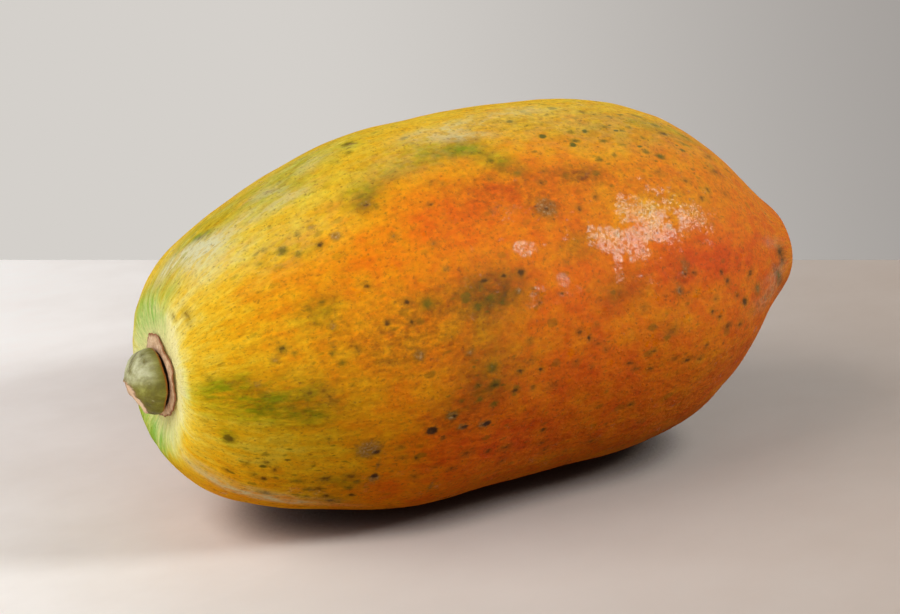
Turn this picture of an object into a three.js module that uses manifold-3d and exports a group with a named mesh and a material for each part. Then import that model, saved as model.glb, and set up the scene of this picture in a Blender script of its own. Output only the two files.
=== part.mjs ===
// A ripe papaya lying on its side, with the stub of its stalk and the dry remains of its calyx.
// Millimetres. +X runs from the stalk to the blossom tip, +Z is up, and the fruit lies on z = 0.
import * as THREE from "three";
import { mergeVertices } from "three/addons/utils/BufferGeometryUtils.js";
import Module from "manifold-3d";

const radians = THREE.MathUtils.degToRad;

// Driving dimensions
const FRUIT_LENGTH = 265; // skin alone, stalk end to blossom tip
const FRUIT_RADIUS = 69; // widest, before the lobes are added
const AXIS_HEIGHT = 66; // from the surface that the fruit lies on up to its long axis
const LOBES = 5; // one over each of the five walls of the seed cavity
const LOBE_PHASE = radians(100); // angle of one crest, turned from +Y towards +Z
const LOBE_DEPTH = { stalk: 0.023, belly: 0.013 }; // share of the radius
const FURROW_SHARPNESS = 0.2; // 0 is a plain wave, more makes broad crests and narrow furrows
const STALK_END_LEAN = { slope: 0.045, reach: 0.27 }; // its underside stands out further
const SEAT = { x: -130.2, y: -0.2, z: -5.5, radius: 17 }; // flat seat of the calyx and the stalk
const STALK_RADIUS = 11.3; // at the flared foot
const STALK_LENGTH = 13.8; // from the seat to the tip
const STALK_CUT = { height: 11.9, rise: 0.66, turn: -0.1 }; // the knife's slanted plane
const CALYX_BORE = 8.8; // radius
const CALYX_RADIUS = 13;
const CALYX_THICKNESS = 1.2;
const GAP = 0.3; // between pieces that touch

// How fine each piece is
const FRUIT_SEGMENTS = 64;
const ROUND_SEGMENTS = 36;
const CALYX_SEGMENTS = 60;
const FRUIT_STEPS = 3; // along each span of the outline
const STALK_STEPS = 2;

// Half outline of the fruit: [share of the length, share of the radius]
const FRUIT_OUTLINE = [
  [0.009, 0], // middle of the stalk end
  [0.007, 0.17],
  [0.0045, 0.305],
  [0.006, 0.4], // shoulder
  [0.017, 0.472],
  [0.055, 0.625],
  [0.115, 0.75],
  [0.198, 0.87],
  [0.31, 0.985],
  [0.43, 1], // belly
  [0.56, 1],
  [0.67, 0.98],
  [0.765, 0.88],
  [0.847, 0.693],
  [0.915, 0.465], // slight waist before the blossom tip
  [0.955, 0.34],
  [0.982, 0.255],
  [0.995, 0.145],
  [1, 0],
];

// The long axis bows upwards a little: [y, z] at even steps from the stalk to the blossom tip
const FRUIT_BOW = [
  [-0.2, -5.5],
  [1.3, -0.8],
  [2.1, 2.5],
  [0.7, 1.2],
  [-2.7, -0.7],
];

// Half outline of the stalk stub, from its foot outwards: [share of the length, share of the radius]
const STALK_OUTLINE = [
  [0, 0],
  [0, 0.7],
  [0.1, 0.72],
  [0.18, 0.93],
  [0.26, 1.01], // flared rim over the calyx
  [0.46, 0.99],
  [0.64, 0.8],
  [0.8, 0.54],
  [0.93, 0.28],
  [1, 0],
];
const STALK_RIDGE_DEPTH = 0.03; // the stalk is rounded five-sided: share of the radius

// Calyx lobes: how far each reaches beyond the ring's radius, in mm, one every 72 degrees
const CALYX_LOBES = [2.8, 0.9, 0.6, 1.1, 1.4];
const CALYX_LOBE_PHASE = radians(70);

const wasm = await Module();
wasm.setup();

// A lathe leaves flat triangles where its outline meets the axis.
function withoutFlatTriangles(index) {
  const kept = [];
  for (let i = 0; i < index.length; i += 3) {
    const [a, b, c] = index.slice(i, i + 3);
    if (a !== b && b !== c && c !== a) kept.push(a, b, c);
  }
  return Uint32Array.from(kept);
}

function toSolid(geometry) {
  const bare = geometry.clone();
  bare.deleteAttribute("normal");
  bare.deleteAttribute("uv");
  const merged = mergeVertices(bare, 1e-4);
  return new wasm.Manifold(
    new wasm.Mesh({
      numProp: 3,
      vertProperties: Float32Array.from(merged.attributes.position.array),
      triVerts: withoutFlatTriangles(merged.index.array),
    }),
  );
}

function toGeometry(solid) {
  const mesh = solid.getMesh();
  const geometry = new THREE.BufferGeometry();
  const places = Float32Array.from(mesh.vertProperties);
  geometry.setAttribute("position", new THREE.BufferAttribute(places, 3));
  geometry.setIndex(new THREE.BufferAttribute(Uint32Array.from(mesh.triVerts), 1));
  geometry.computeVertexNormals();
  return geometry;
}

// A body lathed about its own Y axis from an outline of [share of the length, share of the radius]
function lathed(outline, length, radius, steps, segments) {
  const corners = outline.map(([along, across]) => new THREE.Vector2(across * radius, along * length));
  const profile = new THREE.SplineCurve(corners).getPoints((corners.length - 1) * steps);
  for (const point of profile) point.x = Math.max(point.x, 0);
  return new THREE.LatheGeometry(profile, segments);
}

// A wave with one crest in every turn/count: broad crests of height 1 or less, narrow furrows
function ridgeWave(angle, count, sharpness) {
  return Math.cos(count * angle) - sharpness * Math.cos(2 * count * angle);
}

// The skin as one closed surface: lathed, lobed, bowed, and leaning a little at the stalk end
function fruitSurface() {
  const geometry = lathed(FRUIT_OUTLINE, FRUIT_LENGTH, FRUIT_RADIUS, FRUIT_STEPS, FRUIT_SEGMENTS);
  const bowPoints = FRUIT_BOW.map(([y, z], i) => new THREE.Vector3(i, y, z));
  const bow = new THREE.CatmullRomCurve3(bowPoints, false, "catmullrom");
  const place = geometry.attributes.position;
  for (let i = 0; i < place.count; i++) {
    const share = THREE.MathUtils.clamp(place.getY(i) / FRUIT_LENGTH, 0, 1);
    const angle = Math.atan2(place.getX(i), place.getZ(i));
    const depth = THREE.MathUtils.lerp(LOBE_DEPTH.stalk, LOBE_DEPTH.belly, Math.min(2 * share, 1));
    const wave = ridgeWave(angle - LOBE_PHASE, LOBES, FURROW_SHARPNESS);
    const radius = Math.hypot(place.getX(i), place.getZ(i)) * (1 + depth * wave);
    const rise = radius * Math.sin(angle);
    const lean = STALK_END_LEAN.slope * Math.max(1 - share / STALK_END_LEAN.reach, 0) ** 2;
    const middle = bow.getPoint(share);
    place.setXYZ(
      i,
      place.getY(i) - FRUIT_LENGTH / 2 + lean * rise,
      middle.y + radius * Math.cos(angle),
      middle.z + rise,
    );
  }
  return geometry;
}

// Everything below the flat resting spot, as a block to take away
function groundBlock() {
  const depth = 20;
  const block = new THREE.BoxGeometry(FRUIT_LENGTH, 2 * FRUIT_RADIUS, depth);
  return block.translate(0, 0, -AXIS_HEIGHT - depth / 2);
}

// Everything outside the flat seat at the stalk end, as a disc to take away
function seatDisc() {
  const depth = 10;
  const disc = new THREE.CylinderGeometry(SEAT.radius, SEAT.radius, depth, ROUND_SEGMENTS);
  disc.rotateZ(Math.PI / 2);
  return disc.translate(SEAT.x - depth / 2, SEAT.y, SEAT.z);
}

function makeFruit() {
  const whole = toSolid(fruitSurface());
  const seated = whole.subtract(toSolid(groundBlock())).subtract(toSolid(seatDisc()));
  const skin = new THREE.MeshStandardMaterial({ color: 0xe08a1c, roughness: 0.4, metalness: 0 });
  const fruit = new THREE.Mesh(toGeometry(seated), skin);
  fruit.name = "fruit";
  return fruit;
}

// The stalk and the calyx are made standing up, with +Z along the stalk and +X towards the top side.
function stalkSurface() {
  const geometry = lathed(STALK_OUTLINE, STALK_LENGTH, STALK_RADIUS, STALK_STEPS, ROUND_SEGMENTS);
  const place = geometry.attributes.position;
  for (let i = 0; i < place.count; i++) {
    const angle = Math.atan2(place.getX(i), place.getZ(i));
    const swell = 1 + STALK_RIDGE_DEPTH * ridgeWave(angle - LOBE_PHASE, LOBES, FURROW_SHARPNESS);
    place.setXYZ(i, swell * place.getX(i), place.getY(i), swell * place.getZ(i));
  }
  return geometry.rotateX(Math.PI / 2);
}

// Everything beyond the slanted cut, as a block to take away
function knifeBlock() {
  const size = 60;
  const block = new THREE.BoxGeometry(size, size, size);
  block.translate(0, 0, size / 2);
  block.rotateY(-Math.atan(STALK_CUT.rise));
  block.rotateX(Math.atan(STALK_CUT.turn));
  return block.translate(0, 0, STALK_CUT.height);
}

function makeStalkStub() {
  const cut = toSolid(stalkSurface()).subtract(toSolid(knifeBlock()));
  const green = new THREE.MeshStandardMaterial({ color: 0x85833f, roughness: 0.55, metalness: 0 });
  const stub = new THREE.Mesh(toGeometry(cut), green);
  stub.name = "stalk_stub";
  stub.position.z = GAP;
  return stub;
}

// Ragged outer edge of the calyx, at an angle turned from +Y towards the top side
function calyxReach(angle) {
  let reach = CALYX_RADIUS;
  CALYX_LOBES.forEach((length, i) => {
    const turn = angle - CALYX_LOBE_PHASE - (i * 2 * Math.PI) / CALYX_LOBES.length;
    const nearness = Math.max(Math.cos(turn), 0);
    reach += length * nearness ** 14;
  });
  return reach;
}

function makeCalyxRing() {
  const rim = [];
  for (let i = 0; i < CALYX_SEGMENTS; i++) {
    const angle = (i * 2 * Math.PI) / CALYX_SEGMENTS;
    const reach = calyxReach(angle);
    rim.push(new THREE.Vector2(reach * Math.sin(angle), reach * Math.cos(angle)));
  }
  const outline = new THREE.Shape(rim);
  outline.holes.push(new THREE.Path().absarc(0, 0, CALYX_BORE, 0, 2 * Math.PI));
  const sheet = new THREE.ExtrudeGeometry(outline, {
    depth: CALYX_THICKNESS,
    bevelEnabled: false,
    curveSegments: ROUND_SEGMENTS / 2,
  });
  const cork = new THREE.MeshStandardMaterial({ color: 0xc39a7c, roughness: 0.85, metalness: 0 });
  const ring = new THREE.Mesh(sheet, cork);
  ring.name = "calyx_ring";
  ring.position.z = GAP;
  return ring;
}

// The stalk end: local +Z becomes -X, and local +X becomes +Z.
const stalkEnd = new THREE.Group();
stalkEnd.add(makeStalkStub(), makeCalyxRing());
stalkEnd.rotation.y = -Math.PI / 2;
stalkEnd.position.set(SEAT.x, SEAT.y, SEAT.z);

const lying = new THREE.Group();
lying.add(makeFruit(), stalkEnd);
lying.position.z = AXIS_HEIGHT;

// The origin is under the middle of the whole papaya.
const papaya = new THREE.Group();
papaya.add(lying);
const middle = new THREE.Box3().setFromObject(papaya, true).getCenter(new THREE.Vector3());
papaya.position.set(-middle.x, -middle.y, 0);

export default papaya;
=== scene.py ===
# %% [markdown]
# # A ripe papaya, lying on its side
#
# A papaya is one fruit that grew: a thin waxy skin over soft flesh. At one end sits the cut stub of its
# stalk, in the dry corky collar that the flower left behind. This lesson feels the plain solids with
# rays, lays a fine skin over them, and then paints that skin the way ripening does: green first, then
# yellow, then orange.

# %% Load the plain solids
import math

import bpy
import numpy as np
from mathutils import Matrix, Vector
from mathutils.bvhtree import BVHTree


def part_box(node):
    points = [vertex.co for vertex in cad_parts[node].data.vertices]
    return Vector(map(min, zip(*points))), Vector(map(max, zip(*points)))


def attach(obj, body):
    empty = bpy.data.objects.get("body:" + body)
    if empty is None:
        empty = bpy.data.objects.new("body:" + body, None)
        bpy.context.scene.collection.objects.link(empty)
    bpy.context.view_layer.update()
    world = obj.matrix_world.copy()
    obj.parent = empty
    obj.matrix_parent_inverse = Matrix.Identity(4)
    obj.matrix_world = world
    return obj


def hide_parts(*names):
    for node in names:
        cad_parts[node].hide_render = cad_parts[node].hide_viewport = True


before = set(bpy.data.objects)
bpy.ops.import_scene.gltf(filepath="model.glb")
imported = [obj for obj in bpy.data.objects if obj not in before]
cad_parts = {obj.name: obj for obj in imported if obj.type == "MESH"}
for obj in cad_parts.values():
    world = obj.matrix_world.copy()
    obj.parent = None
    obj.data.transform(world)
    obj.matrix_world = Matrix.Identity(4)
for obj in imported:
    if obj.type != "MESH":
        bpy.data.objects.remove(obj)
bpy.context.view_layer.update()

MM = 0.001  # everything below is worked out in millimetres and turned into metres at the end


def box_in_mm(node):
    """Lowest and highest corner of a plain solid, in millimetres."""
    return [np.array(corner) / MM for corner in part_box(node)]


fruit_low, fruit_high = box_in_mm("fruit")
stub_low, stub_high = box_in_mm("stalk_stub")
print("fruit, mm:", (fruit_high - fruit_low).round(1), "stalk stub, mm:", (stub_high - stub_low).round(1))

# %% [markdown]
# ## Feel the solid with rays
#
# The plain fruit is right in size but has flat facets. A new skin could be made by subdividing it, but
# its triangles run anyhow. Rays cast outwards from a line inside the fruit meet it in a regular net
# instead, with rows round the fruit and columns along it, and such a net is easy to smooth, to dent and
# to paint. Each ring of rays starts on the centre line. The first rings fan out from one point to wrap
# the stalk end, the last ones do the same for the blossom tip, and those between stand straight out.

# %% Find the centre line
CAP_REACH = 72  # how far inside each end the fans of rays start
LINE_POINTS, LINE_SWEEPS = 25, 3
COARSE_TURNS = np.radians(np.arange(0, 360, 10))


def tree_of(node):
    """A search tree of a plain solid's faces, in millimetres, which rays can be cast at."""
    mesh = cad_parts[node].data
    places = [vertex.co / MM for vertex in mesh.vertices]
    return BVHTree.FromPolygons(places, [tuple(face.vertices) for face in mesh.polygons])


def touch(tree, start, direction):
    """Where a ray from inside a solid meets its surface."""
    return tree.ray_cast(Vector(start), Vector(direction))[0]


fruit_tree = tree_of("fruit")
line_x = np.linspace(fruit_low[0] + CAP_REACH, fruit_high[0] - CAP_REACH, LINE_POINTS)
line_y = np.full(LINE_POINTS, (fruit_low[1] + fruit_high[1]) / 2)
line_z = np.full(LINE_POINTS, (fruit_low[2] + fruit_high[2]) / 2)
for _ in range(LINE_SWEEPS):
    for i, x in enumerate(line_x):
        start = (x, line_y[i], line_z[i])
        hits = np.array([touch(fruit_tree, start, (0, math.cos(a), math.sin(a))) for a in COARSE_TURNS])
        line_y[i], line_z[i] = hits[:, 1].mean(), hits[:, 2].mean()
print("centre line bows, mm:", np.ptp(line_y).round(2), "sideways,", np.ptp(line_z).round(2), "up and down")


# %% Aim the rings of rays
def find_tip():
    """The point of the fruit that is farthest from the stalk."""
    places = [vertex.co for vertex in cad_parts["fruit"].data.vertices]
    return np.array(max(places, key=lambda place: place.x)) / MM


stalk_pole = np.array([fruit_low[0], (stub_low[1] + stub_high[1]) / 2, (stub_low[2] + stub_high[2]) / 2])
tip_pole = find_tip()


def unit(vector):
    return vector / np.linalg.norm(vector)


def ring_aim(step):
    """Start of a ring's rays, the way to its pole, and how far they lean there. Steps run from 0 to 3."""
    along = np.interp(step, [1, 2], [0, 1]) * (LINE_POINTS - 1)
    start = np.array([np.interp(along, np.arange(LINE_POINTS), line) for line in (line_x, line_y, line_z)])
    pole = stalk_pole if step < 1.5 else tip_pole
    fan = math.radians(90) * (min(step, 1) if step < 1.5 else 3 - max(step, 2))
    return start, unit(pole - start), fan


def cast_ring(step, turns):
    """One ring of points on the fruit, at these turns from +Y towards +Z."""
    start, ahead, fan = ring_aim(step)
    points = []
    for turn in turns:
        outwards = np.array([0, math.cos(turn), math.sin(turn)])
        points.append(touch(fruit_tree, start, math.cos(fan) * ahead + math.sin(fan) * outwards))
    return np.array(points)


# %% Space the rings evenly along the skin
ROWS, COLUMNS, COARSE_ROWS = 327, 300, 241
POLE_GAP = 0.4  # mm from each pole to the nearest ring
SEAM_TURN = -90  # the net's first column runs underneath


def walk_of(rings):
    """Distance along the skin from the middle of the stalk end to each ring."""
    middles = rings.mean(axis=1)
    radii = np.linalg.norm((rings - middles[:, None])[..., 1:], axis=2).mean(axis=1)
    legs = np.hypot(np.diff(middles[:, 0]), np.diff(radii))
    return np.concatenate([[0], np.cumsum(legs)])


coarse_steps = np.linspace(0, 3, COARSE_ROWS)
coarse_walk = walk_of(np.array([cast_ring(step, COARSE_TURNS) for step in coarse_steps]))
SKIN_LENGTH = coarse_walk[-1]
even_walk = np.linspace(POLE_GAP, SKIN_LENGTH - POLE_GAP, ROWS)
turns = np.radians(SEAM_TURN + np.arange(COLUMNS) * 360 / COLUMNS)
felt = np.array([cast_ring(step, turns) for step in np.interp(even_walk, coarse_walk, coarse_steps)])
print("skin is", round(SKIN_LENGTH, 1), "mm long and was felt at", felt.shape[0] * felt.shape[1], "points")


# %% [markdown]
# ## Smooth the facets away
#
# The net still carries the solid's flat facets. Each point is averaged with its neighbours along the
# fruit and round it, with bell-shaped weights. Where the fruit bends gently the bell is wide, and at the
# two ends it is narrow, so that the shoulder and the tip keep their shape. Past an end the net carries on
# down the other side.

# %% Smooth the net
ROUND_REACH, BELLY_REACH, END_REACH = 2.2, 5, 2  # spread of the bells, in cells
BELLY_START, BELLY_END = (60, 90), (215, 245)  # walks between which the wide bell fades in and out


def bell(reach):
    """Bell-shaped weights whose spread is this many cells."""
    cells = np.arange(-math.ceil(3 * reach), math.ceil(3 * reach) + 1)
    weights = np.exp(-0.5 * (cells / reach) ** 2)
    return cells, weights / weights.sum()


def smooth_round(grid, reach):
    """Averages each point with its neighbours round the fruit."""
    return sum(weight * np.roll(grid, cell, axis=1) for cell, weight in zip(*bell(reach)))


def smooth_along(grid, reach):
    """Averages each point with its neighbours along the fruit."""
    cells, weights = bell(reach)
    pad = cells[-1]
    across = np.roll(grid, COLUMNS // 2, axis=1)
    padded = np.concatenate([across[:pad][::-1], grid, across[-pad:][::-1]])
    return sum(weight * padded[pad + cell : pad + cell + ROWS] for cell, weight in zip(cells, weights))


def rise_between(values, low, high):
    """0 below low, 1 above high, and a smooth step between them."""
    share = np.clip((values - low) / (high - low), 0, 1)
    return share * share * (3 - 2 * share)


def outward(grid):
    """The way out of the fruit at each point of the net."""
    along = np.gradient(grid, axis=0)
    around = np.roll(grid, -1, axis=1) - np.roll(grid, 1, axis=1)
    normal = np.cross(around, along)
    return normal / np.linalg.norm(normal, axis=2, keepdims=True)


steady = smooth_round(felt, ROUND_REACH)
belly = (rise_between(even_walk, *BELLY_START) * (1 - rise_between(even_walk, *BELLY_END)))[:, None, None]
skin = belly * smooth_along(steady, BELLY_REACH) + (1 - belly) * smooth_along(steady, END_REACH)
print("smoothing moved the skin by at most", np.linalg.norm(skin - felt, axis=2).max().round(2), "mm")

# %% [markdown]
# ## A way to place things on the skin
#
# A mark needs an address. Here it is two numbers: how far to walk along the skin from the middle of the
# stalk end, in millimetres, and how far to turn round the fruit, in degrees, from 0 at the back over 90
# on top to 180 at the front and 270 underneath. `away` measures how far every point of the net is from
# such an address, in units of the mark's own half sizes, so the same function serves soft patches, dots
# and slanted scars. `lumps` is the other tool: soft random hills and hollows, the same ones in every run,
# for whatever has no address.

# %% Addresses on the skin
WALK = np.repeat(even_walk[:, None], COLUMNS, axis=1)
TURN = np.repeat(np.degrees(turns)[None, :], ROWS, axis=0)
ring_middle = skin.mean(axis=1, keepdims=True)
RADIUS = np.linalg.norm((skin - ring_middle)[..., 1:], axis=2).mean(axis=1, keepdims=True) + 0 * WALK
PATCH_FADE, PATCH_EDGE = 0.8, 2.4  # how early and how sharply a soft patch fades
UNMARKED = -2.0  # height of the cones' field far from every mark


def away(walk, turn, length, width, tilt=0):
    """Distance of each point from a mark's middle, where 1 is the edge of an ellipse of these half sizes."""
    along = WALK - walk
    around = np.radians((TURN - turn + 180) % 360 - 180) * RADIUS
    lean = math.radians(tilt)
    down_it = along * math.cos(lean) + around * math.sin(lean)
    over_it = around * math.cos(lean) - along * math.sin(lean)
    return np.hypot(down_it / length, over_it / width)


def soft_patches(patches):
    """Adds up soft-edged patches."""
    total = np.zeros_like(WALK)
    for walk, turn, length, width, strength, *tilt in patches:
        total += strength * np.exp(-PATCH_FADE * away(walk, turn, length, width, *tilt) ** PATCH_EDGE)
    return total


def nearest(marks):
    """A cone over every mark, as high as its strength in the middle and 0 at its edge."""
    cones = np.full_like(WALK, UNMARKED)
    for walk, turn, length, width, strength, *tilt in marks:
        cones = np.maximum(cones, strength * (1 - away(walk, turn, length, width, *tilt)))
    return cones


LATTICE_FACTORS = 73856093, 19349663, 83492791  # big primes that make neighbouring corners differ
SEED_FACTOR, MIX_FACTOR, WORD = 2654435761, 1274126177, 0xFFFFFFFF


def corner_level(corner, seed):
    """A repeatable random level from -1 to 1 for each corner of a lattice."""
    x, y, z = np.moveaxis(corner * LATTICE_FACTORS, -1, 0)
    key = ((x ^ y ^ z ^ seed * SEED_FACTOR) & WORD) * MIX_FACTOR & WORD
    return ((key ^ key >> 15) & 0xFFFF) / 32767.5 - 1


def lumps(size, seed, stretch=1):
    """Soft random lumps of this size in mm, from -1 to 1, drawn out along the fruit by the stretch."""
    cells = skin / (size * np.array([stretch, 1, 1]))
    corner = np.floor(cells).astype(np.int64)
    inside = cells - corner
    inside = inside * inside * (3 - 2 * inside)
    total = np.zeros_like(WALK)
    for steps in np.ndindex(2, 2, 2):
        shares = np.where(steps, inside, 1 - inside).prod(axis=-1)
        total += corner_level(corner + steps, seed) * shares
    return total


# %% [markdown]
# ## Where the marks are
#
# Ripening starts between the ribs and spreads from the blossom tip towards the stalk. Along the way the
# fruit collects marks: green freckles that ripen last, dark specks of dried latex, and corky scars where
# it was rubbed or pricked. All of them are listed here by address, because the relief, the colours and
# the gloss depend on the same marks. Every row says walk, turn, half length, half width and strength, and
# ends with a tilt in degrees where the mark lies aslant. Lengths are in millimetres.

# %% Corky scars and their dark cores
SCARS = [
    # brown disc low on the front, with the trickle below it
    (90, 200.5, 6.2, 5.8, 1), (95.2, 209, 1.2, 4.5, 0.55), (95.6, 215.5, 3, 2.6, 0.9),
    # ragged rosette beside the bright cheek
    (165, 136.5, 5.6, 5, 1, 20),
    # crusts towards the tip and on the crest
    (213.5, 161.5, 2.8, 5, 0.55, 10), (209.6, 167.6, 2.8, 3.2, 0.6), (103.8, 119.6, 3.6, 3, 0.6),
    (84, 118.5, 1.8, 1.6, 0.7), (90, 125.6, 2.4, 2.2, 1), (108, 133, 2.4, 2, 0.45),
    (120.3, 139.3, 2.6, 2.2, 0.45), (121, 147.5, 2, 1.5, 0.5),
    # dark row low on the front
    (111.4, 195, 2.8, 2.4, 0.9), (122.4, 195.6, 3.4, 1.8, 0.9, 10), (131, 196.5, 3.6, 2.2, 1, 10),
    (117.8, 190.6, 3.2, 2.4, 0.9),
    # pale drops of dried latex and small crusts
    (52.5, 169, 2.6, 2, 0.5), (43.6, 166.6, 3, 1.6, 0.35), (106, 169.8, 2.8, 2.6, 0.9),
    (123.6, 172, 2.6, 2, 0.6), (131.6, 178, 1.4, 1.2, 0.7), (144.6, 158.4, 2, 1.8, 0.8),
    (133.4, 161, 1.6, 1.2, 0.6), (78, 160, 1.6, 1.4, 0.4), (59, 160.4, 2.4, 2, 0.5),
    (79.4, 154.4, 2.2, 1.9, 0.7), (118.6, 222, 1.4, 4.6, 0.6), (59, 228.4, 3.6, 1.7, 0.6, 5),
    (114.6, 91, 3, 2, 0.6, 20), (105, 97.6, 1.8, 1.6, 0.4), (81, 92.5, 4, 1.6, 0.5, 35),
    (182, 98, 2.6, 1.6, 0.45), (258, 175.5, 3, 2.4, 0.5, 20),
    # the hidden side
    (142, 40, 5, 4, 0.8), (96, 330, 4, 3.4, 0.7), (201, 300, 5, 3, 0.8, 30), (70, 30, 2.4, 2.2, 0.8),
    (176, 12, 2.6, 2.4, 0.7),
]
SCAR_CORES = [
    # in the disc and its trickle
    (93.4, 202.3, 2.2, 1.8, 0.8), (89.4, 200, 1.2, 1.1, 0.4), (87, 202, 1, 0.9, 0.4),
    (90, 197.6, 1.2, 0.9, 0.4), (95.6, 214.6, 2, 1.7, 1),
    # in the rosette
    (165, 137.2, 1.3, 1.2, 0.9), (167.6, 135.4, 1.2, 1, 0.5), (161.6, 135.6, 1.6, 0.9, 0.5),
    (166.4, 140.6, 1.5, 1, 0.5),
    # in the crusts and the dark row
    (210, 167.8, 1.7, 1.4, 0.5), (213.2, 163.2, 1.3, 1.1, 0.5), (103.8, 119.9, 1.2, 1, 0.7),
    (111.4, 195, 2.8, 2.2, 1.3), (118.8, 190.9, 1.6, 1.2, 0.8), (123.6, 196, 2.3, 1.2, 1.1),
    (132.2, 196.6, 2.4, 1.6, 1.3),
    # the hidden side
    (142, 40, 1.4, 1.2, 0.9), (96, 330, 1.2, 1.2, 0.8),
]

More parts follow.
